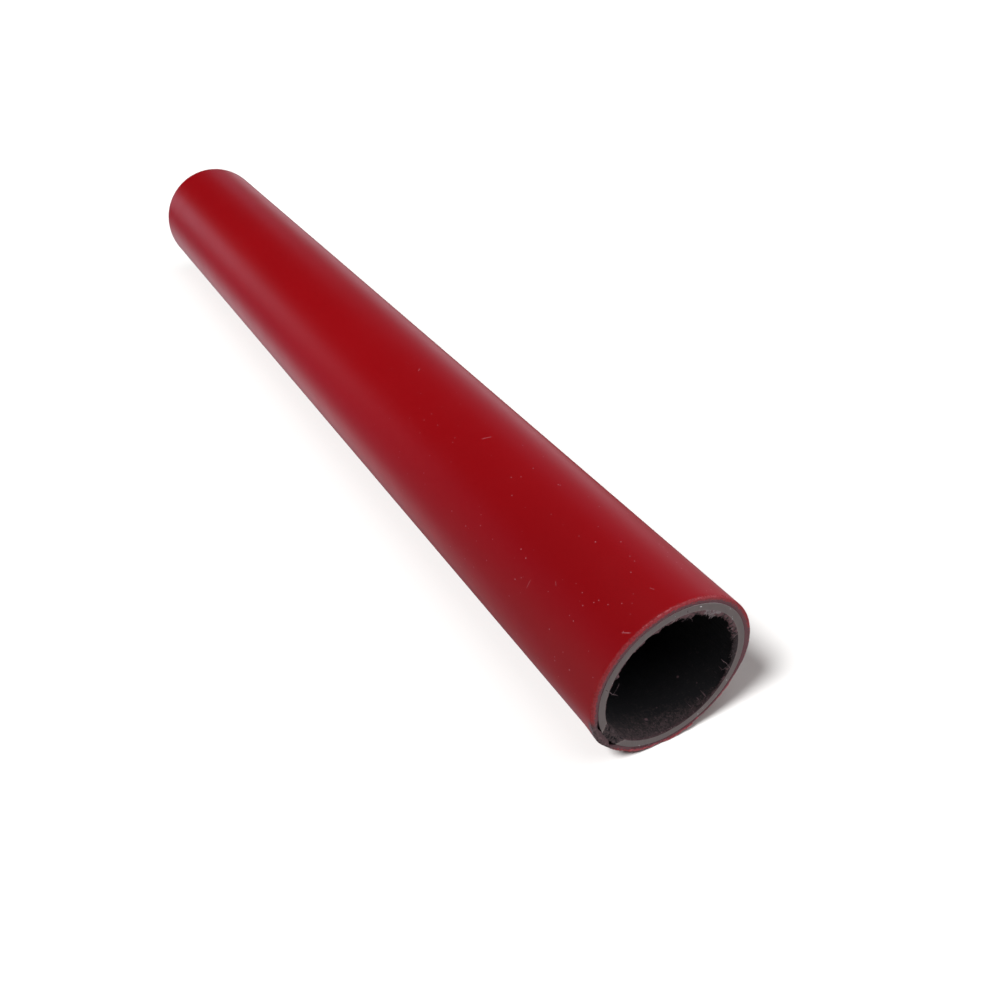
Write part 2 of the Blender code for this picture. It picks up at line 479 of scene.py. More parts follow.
def slug_mesh():
    """The slug: a sawn outer face, chamfers, and a striking face that posts have dished and dented."""
    rings = Rings(256)
    angles = rings.angles
    face_radius = SLUG_RADIUS - SLUG_CHAMFER
    for share in (0.04, 0.12, 0.25, 0.4, 0.55, 0.7, 0.85, 0.96):
        radius = face_radius * share
        sawn = 0.03 * MM * (1 + np.tanh(crinkle(angles, radius, 300, 3 * MM, radius)))
        rings.add(SLUG_LOW.x + sawn, radius)
    rings.add(SLUG_LOW.x, face_radius)
    rings.add(SLUG_LOW.x + SLUG_CHAMFER, SLUG_RADIUS)
    for share in (0.25, 0.5, 0.75):
        rings.add(SLUG_LOW.x + share * (SLUG_HIGH.x - SLUG_LOW.x), SLUG_RADIUS)
    rings.add(SLUG_HIGH.x - SLUG_CHAMFER, SLUG_RADIUS)
    rings.add(SLUG_HIGH.x, face_radius)
    for share in (0.97, 0.9, 0.82, 0.73, 0.64, 0.55, 0.46, 0.37, 0.28, 0.2, 0.12, 0.05):
        radius = face_radius * share
        dish = 0.35 * MM * (1 - share**2)
        dents = 0.12 * MM * (1 + np.tanh(crinkle(angles, radius, 310, 4 * MM, radius)))
        rings.add(SLUG_HIGH.x - dish - dents * (1 - share**4), radius)
    return rings.mesh("striking_slug_skin", closes=False)


def weld_mesh():
    """The weld round the slug: a bead with crescent ripples, a lumpy toe, and a crater where it stopped."""
    rings = Rings(1080)
    angles = rings.angles
    wall = BORE_RADIUS - 0.01 * MM
    face = SLUG_LOW.x
    height = face - WELD_LOW.x
    toe = wall - height
    ripple_count = 74
    crater_angle = 118.0
    rings.add(WELD_HIGH.x, wall)
    for share in shares(16):
        turn = radians(90 * share)
        arch = sin(pi * share)
        crescent = 2.6 * (share - 0.5) ** 2 * 4
        wave = np.cos(ripple_count * np.radians(angles) + 1.4 * ripple(angles, 330, 2, 14) + crescent)
        crest = 0.13 * MM * (wave - 0.35 * wave**2) * arch**0.5
        wander = 0.22 * MM * ripple(angles, 331, 4, 26) * arch
        crater = -0.9 * MM * bump(angles, crater_angle, 7) * arch**2
        lift = crest + wander + crater
        sideways = 0.3 * MM * ripple(angles, 332, 5, 30) * share
        x = face - height * 0.93 * cos(turn) ** 1.4 - lift * 0.7
        radius = wall - height * 0.95 * sin(turn) ** 1.4 - lift * 0.7 - sideways
        rings.add(np.clip(x, WELD_LOW.x, face - 0.02 * MM * share), np.clip(radius, toe - 1 * MM, wall))
    rings.add(face + 0.05 * MM, SLUG_RADIUS - 1.5 * MM)
    rings.add(WELD_HIGH.x, SLUG_RADIUS - 0.2 * MM)
    return rings.mesh("slug_weld_bead", closes=True)


def add_blob(points, faces, centre, size, draws):
    """A small lumpy ball, squashed a little along X."""
    start = len(points)
    around, rows = 10, 5
    half_length = 0.7 * size
    points.append(centre + Vector((-half_length, 0, 0)))
    for i in range(1, rows + 1):
        tilt = pi * i / (rows + 1)
        for j in range(around):
            turn = 2 * pi * j / around
            out = size * sin(tilt) * draws.uniform(0.9, 1.1)
            offset = (-half_length * cos(tilt), out * cos(turn), out * sin(turn))
            points.append(centre + Vector(offset))
    points.append(centre + Vector((half_length, 0, 0)))
    last = len(points) - 1
    for j in range(around):
        k = (j + 1) % around
        faces.append((start, start + 1 + k, start + 1 + j))
        for i in range(rows - 1):
            a, b = start + 1 + i * around, start + 1 + (i + 1) * around
            faces.append((a + j, a + k, b + k, b + j))
        end = start + 1 + (rows - 1) * around
        faces.append((last, end + j, end + k))


def spatter_mesh():
    """Beads of spatter on the slug's outer face and on the tube's wall."""
    draws = random.Random(41)
    points, faces = [], []
    for i in range(46):
        size = draws.uniform(0.14, 0.42) * MM
        angle = draws.uniform(0, 360)
        on_wall = i % 4 == 0
        if on_wall:
            x = draws.uniform(WELD_LOW.x - 2.6 * MM, WELD_LOW.x)
            centre = mouth_point(angle, BORE_RADIUS - 0.2 * size, MOUTH - x)
        else:
            radius = SLUG_RADIUS - draws.uniform(5, 15) * MM
            centre = mouth_point(angle, radius, MOUTH - SLUG_LOW.x + 0.1 * size)
        add_blob(points, faces, centre, size, draws)
    return mesh_of("weld_spatter", points, faces)


# ---- colours, one or a pair for noise to mix

VINYL = ((0.292, 0.0018, 0.004), (0.322, 0.0026, 0.005))
VINYL_MARK = (0.55, 0.2, 0.22)
VINYL_FRAYED = ((0.225, 0.003, 0.006), (0.265, 0.02, 0.027))
VINYL_BY_SEAM = ((0.04, 0.026, 0.026), (0.125, 0.062, 0.066))
VINYL_GRIME = ((0.062, 0.021, 0.025), (0.155, 0.054, 0.062))
# Painted shade: near black for the sleeve's inner wall, deep in the gaps beside the seam.
GAP_PAINTED_SHADE = (0.012, 0.01, 0.01)
SEAM_GRIME = (0.045, 0.032, 0.032)
SHRED = ((0.29, 0.025, 0.034), (0.38, 0.085, 0.098))
SHRED_GRIME = (0.05, 0.026, 0.028)

MILL_SCALE = ((0.0028, 0.0031, 0.0034), (0.008, 0.0076, 0.0076))
# Deep in the bore the scale is painted paler, as fill light where little light reaches.
DEEP_SCALE_PAINTED_FILL = ((0.0085, 0.0096, 0.0106), (0.02, 0.021, 0.022))
# Browns that the bore turns to near the mouth, reaching furthest in low on the -Y side.
BORE_DARK_BROWN = ((0.0085, 0.007, 0.0066), (0.02, 0.0152, 0.014))
BORE_PALE_BROWN = ((0.02, 0.0145, 0.0135), (0.052, 0.0345, 0.033))
RUST_FLECK = (0.105, 0.06, 0.064)
RUST_STROKE = (0.085, 0.055, 0.057)
LOOSE_DUST = (0.11, 0.062, 0.066)
LIP = ((0.036, 0.026, 0.026), (0.125, 0.066, 0.07))
LIP_GREY = (0.22, 0.185, 0.185)
SCAR = ((0.007, 0.006, 0.006), (0.054, 0.036, 0.036))
SAWN_STEEL = ((0.282, 0.236, 0.213), (0.416, 0.35, 0.316))
# Painted glints: white specks that stand in for lamp highlights off tiny facets of the sawn steel.
PAINTED_GLINT = (0.95, 0.93, 0.92)
BURR_STEEL = ((0.05, 0.034, 0.033), (0.2, 0.135, 0.138))

SLUG_STEEL = ((0.2, 0.185, 0.175), (0.34, 0.32, 0.305))
SLUG_RUST = ((0.1, 0.045, 0.025), (0.24, 0.115, 0.06))
HEAT_STRAW = (0.26, 0.15, 0.06)
HEAT_BLUE = (0.06, 0.065, 0.1)
WELD_GREY = ((0.2, 0.185, 0.175), (0.1, 0.085, 0.085))
WELD_BROWN = (0.16, 0.085, 0.05)


# ---- node trees

class Nodes:
    """A node tree, with short calls for its nodes."""

    def __init__(self, tree):
        self.tree = tree

    def node(self, kind, inputs=(), **settings):
        made = self.tree.nodes.new(kind)
        for name, value in settings.items():
            setattr(made, name, value)
        for key, value in dict(inputs).items():
            self.plug(made.inputs[key], value)
        return made

    def plug(self, socket, value):
        if isinstance(value, bpy.types.NodeSocket):
            self.tree.links.new(value, socket)
        elif isinstance(value, tuple) and len(value) == 3 and socket.type == "RGBA":
            socket.default_value = (*value, 1.0)
        else:
            socket.default_value = value

    def maths(self, operation, a, b=0.0, c=0.0, clamp=False):
        made = self.node("ShaderNodeMath", {0: a, 1: b, 2: c}, operation=operation, use_clamp=clamp)
        return made.outputs[0]

    def times(self, first, *others):
        for other in others:
            first = self.maths("MULTIPLY", first, other)
        return first

    def less(self, a, b):
        return self.maths("SUBTRACT", a, b)

    def scaled(self, value, factor, added):
        return self.maths("MULTIPLY_ADD", value, factor, added)

    def step(self, value, low, high):
        """0 to 1 as value goes from low to high, smoothly."""
        inputs = {"Value": value, "From Min": low, "From Max": high}
        return self.node("ShaderNodeMapRange", inputs, interpolation_type="SMOOTHSTEP").outputs["Result"]


class Look(Nodes):
    """A material's nodes. place is the point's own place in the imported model."""

    def __init__(self, name):
        self.material = bpy.data.materials.new(name)
        self.material.use_nodes = True
        super().__init__(self.material.node_tree)
        self.shader = self.tree.nodes["Principled BSDF"]
        self.place = self.node("ShaderNodeTexCoord").outputs["Object"]

    def between(self, value, low, high, soft):
        """1 from low to high, and 0 outside them, with soft of blending at each side."""
        return self.times(self.step(value, low - soft, low), self.step(value, high + soft, high))

    def sector(self, angle, start, end, soft):
        """between, for an angle in radians and limits in degrees."""
        return self.between(angle, radians(start), radians(end), radians(soft))

    def mix(self, factor, a, b):
        """Mixes two colours."""
        made = self.node("ShaderNodeMix", {0: factor, 6: a, 7: b}, data_type="RGBA", clamp_factor=True)
        return made.outputs[2]

    def blend(self, factor, a, b):
        """Mixes two numbers."""
        made = self.node("ShaderNodeMix", {0: factor, 2: a, 3: b}, data_type="FLOAT", clamp_factor=True)
        return made.outputs[0]

    def noise(self, grain, detail=3, roughness=0.55, where=None, seed=0):
        """Noise from 0 to 1, whose bumps are about grain metres across."""
        inputs = {"Vector": where or self.place, "Scale": 1.0 / grain, "W": seed}
        inputs |= {"Detail": detail, "Roughness": roughness}
        return self.node("ShaderNodeTexNoise", inputs, noise_dimensions="4D").outputs["Fac"]

    def cells(self, grain):
        """Points about grain metres apart: the distance from the nearest, and its own random value."""
        outputs = self.node("ShaderNodeTexVoronoi", {"Vector": self.place, "Scale": 1.0 / grain}).outputs
        return outputs["Distance"], outputs["Color"]

    def bump(self, height, distance, strength, normal=None):
        inputs = {"Height": height, "Distance": distance, "Strength": strength}
        if normal is not None:
            inputs["Normal"] = normal
        return self.node("ShaderNodeBump", inputs).outputs["Normal"]

    def tube_coordinates(self):
        """x, the angle in radians from -pi to pi, and the radius, about the driver's axis."""
        parts = self.node("ShaderNodeSeparateXYZ", {0: self.place}).outputs
        height = self.less(parts["Z"], AXIS_HEIGHT)
        angle = self.maths("ARCTAN2", height, parts["Y"])
        across = self.times(parts["Y"], parts["Y"])
        radius = self.maths("SQRT", self.scaled(height, height, across))
        return parts["X"], angle, radius

    def stretched(self, along, around, outward=1.0):
        """The place with x, and the two directions across it, scaled, for grain that runs one way."""
        inputs = {"Vector": self.place, "Scale": (along, around, outward)}
        return self.node("ShaderNodeMapping", inputs).outputs["Vector"]

    def finish(self, colour, roughness, normal, metallic=0.0):
        """Completes the material."""
        self.plug(self.shader.inputs["Base Color"], colour)
        self.plug(self.shader.inputs["Roughness"], roughness)
        self.plug(self.shader.inputs["Metallic"], metallic)
        self.plug(self.shader.inputs["Normal"], normal)
        return self.material


# ---- vinyl

SCUFFS = (  # (depth, angle, length, width, heading in degrees from the axis, strength), lengths in mm
    (3.4, 127.2, 3.9, 0.45, -38.0, 0.75),
    (4.4, 128.2, 1.3, 0.35, 60.0, 0.6),
    (116.5, 100.0, 5.0, 0.60, -70.0, 0.55),
    (180.2, 96.6, 2.6, 0.70, 50.0, 0.5),
    (47.5, 149.0, 4.5, 0.50, 86.0, 0.35),
    (37.5, 136.3, 2.4, 0.40, 35.0, 0.45),
    (11.0, 98.5, 2.0, 0.35, -30.0, 0.6),
)


def scuff(look, x, angle, place_x, place_angle, length, width, heading):
    """A short bent scratch on the sleeve: 1 in its middle."""
    turn = radians(turn_from(place_angle, 0.0))
    along = look.less(x, place_x)
    around = look.times(look.less(angle, turn), SLEEVE_RADIUS)
    cosine, sine = cos(radians(heading)), sin(radians(heading))
    lengthwise = look.maths("ADD", look.times(along, cosine), look.times(around, sine))
    sideways = look.less(look.times(around, cosine), look.times(along, sine))
    bent = look.scaled(look.times(lengthwise, lengthwise), 0.08 / length, sideways)
    in_length = look.step(look.maths("ABSOLUTE", lengthwise), length / 2, length / 5)
    in_width = look.step(look.maths("ABSOLUTE", bent), width / 2, 0.0)
    return look.times(in_length, in_width)


def sleeve_marks(look, x, angle):
    """Specks, more of them toward the mouth, and scuffs, all a little broken up."""
    distance, _ = look.cells(3.1 * MM)
    specks = look.step(distance, 0.10, 0.06)
    sparse = look.step(look.noise(11 * MM, seed=3), 0.44, 0.53)
    near_mouth = look.step(x, 0.0, 0.2)
    marks = look.times(specks, sparse, near_mouth, 0.7)
    for depth, place_angle, length, width, heading, strength in SCUFFS:
        place_x = MOUTH - depth * MM
        one = scuff(look, x, angle, place_x, place_angle, length * MM, width * MM, heading)
        marks = look.maths("MAXIMUM", marks, look.times(one, strength))
    broken = look.step(look.noise(0.5 * MM, detail=2, seed=5), 0.3, 0.5)
    return look.times(marks, look.blend(broken, 0.5, 1.0))


def sleeve_cut(look, angle, radius, end_depth, spread):
    """The sleeve's cut faces, out to a ragged radius, larger on the right, and its inner wall."""
    right_side = look.sector(angle, -17, 12, 7)
    dull_edge = look.scaled(right_side, 1.1 * MM, TUBE_RADIUS + 1.2 * MM)
    face = look.step(look.less(look.maths("ADD", radius, spread), dull_edge), 0.2 * MM, 0.0)
    face = look.times(face, look.step(end_depth, 1.2 * MM, 0.9 * MM))
    inner_wall = look.step(radius, TUBE_RADIUS + 1.8 * MM, TUBE_RADIUS + 1.7 * MM)
    inner_wall = look.times(inner_wall, look.step(end_depth, 1.2 * MM, 1.5 * MM))
    return look.maths("MAXIMUM", face, inner_wall)


def vinyl_material():
    """Satin red vinyl. Its cut ends are dull and grimed, its inner wall is painted near-black as shade in
    the gaps, and its outside has a few specks and scuffs.
    """
    look = Look("red_vinyl")
    x, angle, radius = look.tube_coordinates()
    depth = look.less(MOUTH, x)
    end_depth = look.maths("MINIMUM", depth, look.less(x, CLOSED_END))
    speckle = look.noise(0.55 * MM, detail=2, seed=8)
    spread = look.scaled(speckle, 3.4 * MM, -1.7 * MM)
    frayed = look.step(speckle, 0.38, 0.62)

    marks = sleeve_marks(look, x, angle)
    cut = sleeve_cut(look, angle, radius, end_depth, spread)
    worn = look.step(look.maths("ADD", end_depth, spread), 1.0 * MM, 0.3 * MM)
    by_seam = look.times(look.sector(angle, -164, -137, 9), look.step(depth, 3.4 * MM, 1.2 * MM))

    red = look.mix(look.noise(70 * MM, detail=2), *VINYL)
    red = look.mix(marks, red, VINYL_MARK)
    red = look.mix(worn, red, look.mix(frayed, *VINYL_FRAYED))
    red = look.mix(by_seam, red, look.mix(frayed, *VINYL_BY_SEAM))
    grime_and_gap_shade = look.mix(look.noise(0.5 * MM, detail=4, seed=7), *VINYL_GRIME)
    # Painted shade: the sleeve's inner wall turns near black a little way in from its ends.
    grime_and_gap_shade = look.mix(look.step(end_depth, 0.3 * MM, 1.0 * MM), grime_and_gap_shade, GAP_PAINTED_SHADE)
    grime_and_gap_shade = look.mix(look.times(by_seam, 0.6), grime_and_gap_shade, SEAM_GRIME)
    colour = look.mix(cut, red, grime_and_gap_shade)

    satin = look.blend(look.noise(14 * MM, seed=9), 0.31, 0.39)
    satin = look.blend(worn, satin, 0.8)
    roughness = look.blend(cut, look.blend(marks, satin, 0.6), 0.85)

    peel = look.noise(2.2 * MM, detail=2, seed=11)
    drawn = look.noise(1.3 * MM, detail=2, where=look.stretched(0.03, 1.0), seed=13)
    fibres = look.noise(0.16 * MM, seed=15)
    torn = look.maths("MAXIMUM", cut, look.times(worn, 0.6))
    normal = look.bump(peel, 0.012 * MM, 0.5)
    normal = look.bump(drawn, 0.006 * MM, 0.5, normal)
    normal = look.bump(marks, 0.05 * MM, 0.6, normal)
    normal = look.bump(look.times(fibres, torn), 0.12 * MM, 0.8, normal)
    return look.finish(colour, roughness, normal)


def shred_material():
    """Torn red vinyl: pale where it is stretched, and grimed in places."""
    look = Look("vinyl_shreds")
    patches = look.noise(0.6 * MM, seed=1)
    colour = look.mix(patches, *SHRED)
    colour = look.mix(look.step(patches, 0.38, 0.32), colour, SHRED_GRIME)
    normal = look.bump(look.noise(0.25 * MM, seed=2), 0.04 * MM, 0.6)
    return look.finish(colour, look.blend(patches, 0.5, 0.7), normal)


# ---- the tube's steel

def scale_colour(look, depth, fine):
    """Black mill scale, painted a little paler deep in the bore, as fill light where little light reaches.
    """
    scale = look.mix(look.noise(2.6 * MM, detail=4, seed=2), *MILL_SCALE)
    return look.mix(look.step(depth, 14 * MM, 50 * MM), scale, look.mix(fine, *DEEP_SCALE_PAINTED_FILL))


def bore_colour(look, angle, depth, fine, patchy):
    """Mill scale that gives way, grain by grain, to dark and then paler brown near the mouth, reaching
    furthest in low on the -Y side.
    """
    left_side = look.step(angle, radians(-179), radians(-166))
    right_side = look.step(angle, radians(-22), radians(-100))
    reach = look.scaled(look.times(left_side, right_side), 14.5 * MM, 1.0 * MM)
    near = look.maths("SUBTRACT", 1.0, look.maths("DIVIDE", depth, reach), clamp=True)
    grains = look.noise(0.9 * MM, detail=2, roughness=0.7, seed=5)
    grit = look.scaled(grains, 2.6, -1.3)

    dark_brown_mask = look.step(look.maths("ADD", grit, look.less(near, 0.33)), -0.03, 0.03)
    dark_brown = look.mix(look.step(fine, 0.4, 0.6), *BORE_DARK_BROWN)
    colour = look.mix(dark_brown_mask, scale_colour(look, depth, fine), dark_brown)
    pale_brown_mask = look.step(look.maths("ADD", grit, look.less(near, 0.70)), -0.03, 0.03)
    colour = look.mix(pale_brown_mask, colour, look.mix(look.step(patchy, 0.4, 0.6), *BORE_PALE_BROWN))

    flecks = look.step(look.noise(0.55 * MM, detail=2, seed=6), 0.64, 0.69)
    colour = look.mix(look.times(flecks, look.step(near, 0.25, 0.7)), colour, RUST_FLECK)
    strokes = look.noise(0.6 * MM, detail=1, where=look.stretched(0.12, 1.0), seed=16)
    strokes = look.times(look.step(strokes, 0.66, 0.70), look.step(depth, 7 * MM, 2 * MM))
    strokes = look.times(strokes, look.between(angle, radians(-90), radians(-15), 0.2))
    colour = look.mix(strokes, colour, RUST_STROKE)
    distance, _ = look.cells(9 * MM)
    loose = look.times(look.step(distance, 0.09, 0.06), look.step(depth, 32 * MM, 20 * MM), 0.8)
    return look.mix(loose, colour, LOOSE_DUST)


def scar_mask(look, angle, radius, depth, patchy):
    """The scar at the seam, which narrows outward."""
    from_seam = look.maths("ABSOLUTE", look.less(angle, radians(turn_from(SCAR_ANGLE, 0.0))))
    outward = look.maths("DIVIDE", look.less(radius, BORE_RADIUS), TUBE_WALL)
    edge = look.scaled(outward, -radians(6.0), radians(14.0))
    edge = look.scaled(patchy, radians(4.0), edge)
    scar = look.step(look.less(from_seam, edge), radians(1.5), -radians(1.0))
    return look.times(scar, look.step(depth, 9 * MM, 5 * MM))


def sawn_mask(look, radius, end_depth, patchy, scar):
    """The bright sawn faces, down to a ragged edge at the bore, without the scar."""
    on_face = look.step(end_depth, 0.075 * MM, 0.045 * MM)
    ragged = look.less(radius, look.times(patchy, 0.3 * MM))
    past_edge = look.step(ragged, BORE_RADIUS - 0.25 * MM, BORE_RADIUS - 0.05 * MM)
    return look.times(on_face, past_edge, look.less(1.0, scar))


def lip_colour(look, angle):
    """The burr at the bore's edge: brown, dark in places, and grey at the upper right."""
    blotches = look.noise(1.5 * MM, detail=4, roughness=0.6, seed=12)
    browner = look.sector(angle, -20, 14, 6)
    greyer = look.sector(angle, 55, 68, 5)
    blotches = look.maths("ADD", blotches, look.times(look.less(greyer, browner), 0.16))
    colour = look.mix(look.step(blotches, 0.42, 0.47), *LIP)
    return look.mix(look.step(blotches, 0.60, 0.65), colour, LIP_GREY)


def tube_material():
    """Steel: bright sawn ends with painted glints, a brown burr at the bore's edge, and a black bore that
    turns brown near the mouth and is painted paler deep inside as fill light.
    """
    look = Look("tube_steel")
    x, angle, radius = look.tube_coordinates()
    depth = look.less(MOUTH, x)
    end_depth = look.maths("MINIMUM", depth, look.less(x, CLOSED_END))
    fine = look.noise(0.22 * MM, detail=4, seed=1)
    patchy = look.noise(0.7 * MM, detail=5, roughness=0.7, seed=4)
    sawn = look.noise(0.28 * MM, where=look.stretched(1.0, 1.0, 0.06), seed=10)
    scar = scar_mask(look, angle, radius, depth, patchy)
    bright = sawn_mask(look, radius, end_depth, patchy, scar)
    # Painted glints: small white cells on the sawn faces, standing in for lamp highlights off tiny facets.
    distance, pick = look.cells(1.7 * MM)
    painted_glints = look.times(look.step(distance, 0.16, 0.10), look.maths("GREATER_THAN", pick, 0.55), bright)

    low = look.sector(angle, -172, -30, 9)
    on_lip = look.step(depth, 1.3 * MM, 0.7 * MM)
    lip = look.times(on_lip, look.blend(low, 1.0, 0.3))
    colour = look.mix(lip, bore_colour(look, angle, depth, fine, patchy), lip_colour(look, angle))
    pitted = look.step(look.noise(0.8 * MM, seed=13), 0.44, 0.49)
    colour = look.mix(look.times(scar, on_lip), colour, look.mix(pitted, *SCAR))
    colour = look.mix(bright, colour, look.mix(painted_glints, look.mix(sawn, *SAWN_STEEL), PAINTED_GLINT))

    metal = look.maths("MAXIMUM", look.times(bright, 0.95), look.times(on_lip, 0.3))
    metal = look.times(metal, look.less(1.0, look.maths("MAXIMUM", scar, painted_glints)))
    dull = look.blend(fine, 0.62, 0.9)
    polished = look.blend(painted_glints, look.blend(sawn, 0.42, 0.55), 0.12)
    roughness = look.blend(bright, dull, polished)
    height = look.noise(0.9 * MM, detail=5, roughness=0.65, seed=14)
    normal = look.bump(height, 0.25 * MM, look.blend(bright, 0.7, 0.0))
    normal = look.bump(sawn, 0.012 * MM, look.blend(bright, 0.0, 0.7), normal)
    normal = look.bump(fine, 0.06 * MM, look.blend(bright, 0.6, 0.05), normal)
    look.shader.inputs["Specular IOR Level"].default_value = 0.25
    return look.finish(colour, roughness, normal, metal)


def burr_material():
    """Torn steel, half grey and half brown."""
    look = Look("burr_steel")
    patches = look.noise(0.45 * MM, detail=4, seed=2)
    colour = look.mix(look.step(patches, 0.42, 0.56), *BURR_STEEL)
    roughness = look.blend(patches, 0.8, 0.55)
    normal = look.bump(look.noise(0.2 * MM, seed=4), 0.05 * MM, 0.6)
    return look.finish(colour, roughness, normal, metallic=look.blend(patches, 0.2, 0.5))


# ---- the slug and the weld

SAW_PITCH = 0.75 * MM


def saw_marks(look):
    """Arcs of saw marks about a point beside the slug."""
    parts = look.node("ShaderNodeSeparateXYZ", {0: look.place}).outputs
    across = look.maths("ADD", parts["Y"], 0.16)
    height = look.less(parts["Z"], AXIS_HEIGHT - 0.05)
    swing = look.maths("ADD", look.times(across, across), look.times(height, height))
    swing = look.times(look.maths("SQRT", swing), 2 * pi / SAW_PITCH)
    wander = look.noise(9 * MM, detail=2, seed=1)
    wave = look.maths("SINE", look.scaled(wander, 5.0, swing))
    return look.scaled(wave, 0.5, 0.5)


def slug_material():
    """Sawn round bar: arcs of saw marks on its faces, a little rust, and a blued ring by the weld."""
    look = Look("slug_steel")
    x, _, radius = look.tube_coordinates()
    saw = saw_marks(look)
    fine = look.noise(0.3 * MM, detail=4, seed=2)
    patches = look.step(look.noise(6 * MM, detail=5, roughness=0.65, seed=3), 0.5, 0.66)
    rust = look.mix(fine, *SLUG_RUST)
    colour = look.mix(look.times(patches, 0.75), look.mix(saw, *SLUG_STEEL), rust)
    outer_face = look.step(x, SLUG_LOW.x + 3 * MM, SLUG_LOW.x + 1 * MM)
    straw = look.between(radius, SLUG_RADIUS - 9.5 * MM, SLUG_RADIUS - 7 * MM, 2 * MM)
    blue = look.step(radius, SLUG_RADIUS - 7.5 * MM, SLUG_RADIUS - 5 * MM)
    colour = look.mix(look.times(straw, outer_face, 0.55), colour, HEAT_STRAW)
    colour = look.mix(look.times(blue, outer_face, 0.7), colour, HEAT_BLUE)
    roughness = look.blend(patches, look.blend(fine, 0.38, 0.52), 0.85)
    metallic = look.blend(patches, 0.9, 0.15)
    normal = look.bump(saw, 0.03 * MM, 0.55)
    normal = look.bump(fine, 0.04 * MM, 0.4, normal)
    return look.finish(colour, roughness, normal, metallic)


def weld_material():
    """Weld metal: grey with brown oxide, smoother in places."""
    look = Look("weld_metal")
    patches = look.noise(2.5 * MM, detail=4, seed=1)
    fine = look.noise(0.25 * MM, detail=4, seed=2)
    colour = look.mix(look.step(patches, 0.35, 0.6), *WELD_GREY)
    colour = look.mix(look.step(look.noise(4 * MM, seed=3), 0.58, 0.7), colour, WELD_BROWN)
    roughness = look.blend(fine, 0.3, 0.52)
    normal = look.bump(fine, 0.05 * MM, 0.45)
    return look.finish(colour, roughness, normal, metallic=0.85)


# ---- the studio

STUDIO_PANELS = (  # (from roll, to roll, soft, from turn, to turn, soft, strength, blue), in degrees
    (-95, -58, 8, -1, 44, 12, 0.16, 1.06),
    (-16, -6, 8, -1, 44, 12, 0.80, 1.06),
    (-16, -6, 8, -1, 22, 12, 0.45, 1.06),
    (-95, -14, 14, 60, 180, 12, 0.34, 1.09),
    (236, 266, 12, -1, 28, 28, 0.80, 1.08),
    (240, 266, 12, 50, 180, 12, 0.09, 1.20),
    (0, 13, 8, -1, 24, 10, 0.38, 1.16),
    (0, 18, 10, 36, 70, 10, 0.32, 1.24),
    (28, 47, 5, -1, 22, 10, 0.30, 1.36),
    (32, 46, 8, 38, 62, 10, 0.12, 1.50),
    (160, 188, 8, -1, 20, 12, 0.92, 1.20),
    (200, 226, 12, -1, 30, 12, 0.012, 4.5),
    (150, 226, 12, 34, 56, 10, 0.016, 4.5),
)
STUDIO_LOBES = (  # (roll, turn, full radius, outer radius, strength), in degrees
    (90, 107, 13, 27, 5.2),
    (148, 106, 10, 26, 1.3),
    (32, 108, 12, 30, 4.2),
    (172, 106, 8, 26, 1.1),
)
LAMP_COLOUR = (1.0, 0.985, 1.09)

FLOOR_HALF = 6.0
FLOOR_COLOUR = (0.29, 0.28, 0.25)
SUN_HEADING = (-0.20, 0.77, -1.0)
SUN = {"angle": radians(16), "energy": 13.6, "color": (0.87, 0.90, 1.0)}
FAR_PLACE = (-0.22, -1.12, 0.48)
FAR_TARGET = (-0.24, 0.0, 0.04)
FAR_SPOT = {"spot_size": radians(45), "spot_blend": 0.6, "shadow_soft_size": 0.12, "energy": 22.0}
END_PLACE = (-1.25, -0.25, 0.42)
END_PANEL = {"size": 0.9, "energy": 11.0}

CAMERA_FROM_MOUTH = (0.1732, -0.1721, 0.2367)
CAMERA_AZIMUTH = 61.22
CAMERA_ELEVATION = 36.15
CAMERA_LENS = 35.66
CAMERA_SENSOR = 36.0
CAMERA_SHIFT = (0.0296, 0.0187)


class Studio(Nodes):
    """The world's nodes. A direction has a turn, its angle from -X, and a roll, its angle about the axis."""

    def __init__(self):
        world = bpy.data.worlds.new("studio")
        bpy.context.scene.world = world
        world.use_nodes = True
        super().__init__(world.node_tree)
        self.tree.nodes.clear()
        self.direction = self.node("ShaderNodeTexCoord").outputs["Generated"]
        parts = self.node("ShaderNodeSeparateXYZ", {0: self.direction}).outputs
        self.turn = self.maths("ARCCOSINE", self.times(parts["X"], -1.0))
        self.roll = self.maths("ARCTAN2", parts["Z"], parts["Y"])

    def fade(self, value, full, gone):
        """1 while value is on full's side, and 0 past gone, in degrees."""
        return self.step(value, radians(gone), radians(full))

    def panel(self, from_roll, to_roll, soft_roll, from_turn, to_turn, soft_turn):
        """1 within a patch of directions with soft edges."""
        middle, half = (from_roll + to_roll) / 2, (to_roll - from_roll) / 2
        from_middle = self.less(self.roll, radians(middle))
        away = self.maths("ABSOLUTE", self.maths("WRAP", from_middle, pi, -pi))
        light = self.fade(away, half, half + soft_roll)
        light = self.times(light, self.fade(self.turn, to_turn, to_turn + soft_turn))
        if from_turn > 0:
            light = self.times(light, self.fade(self.turn, from_turn, from_turn - soft_turn))
        return light

    def lobe(self, at_roll, at_turn, full, outer, strength):
        """A round lamp with a soft edge."""
        roll, turn = radians(at_roll), radians(at_turn)
        across = sin(turn)
        centre = Vector((-cos(turn), across * cos(roll), across * sin(roll)))
        facing = self.node("ShaderNodeVectorMath", {0: self.direction, 1: centre}, operation="DOT_PRODUCT")
        away = self.maths("ARCCOSINE", facing.outputs["Value"])
        return self.times(self.fade(away, full, outer), strength)

    def total(self, lights):
        added = 0.0
        for light in lights:
            added = self.maths("ADD", added, light)
        return added

    def glow(self, colour, strength):
        inputs = {"Color": colour, "Strength": strength}
        return self.node("ShaderNodeBackground", inputs).outputs[0]


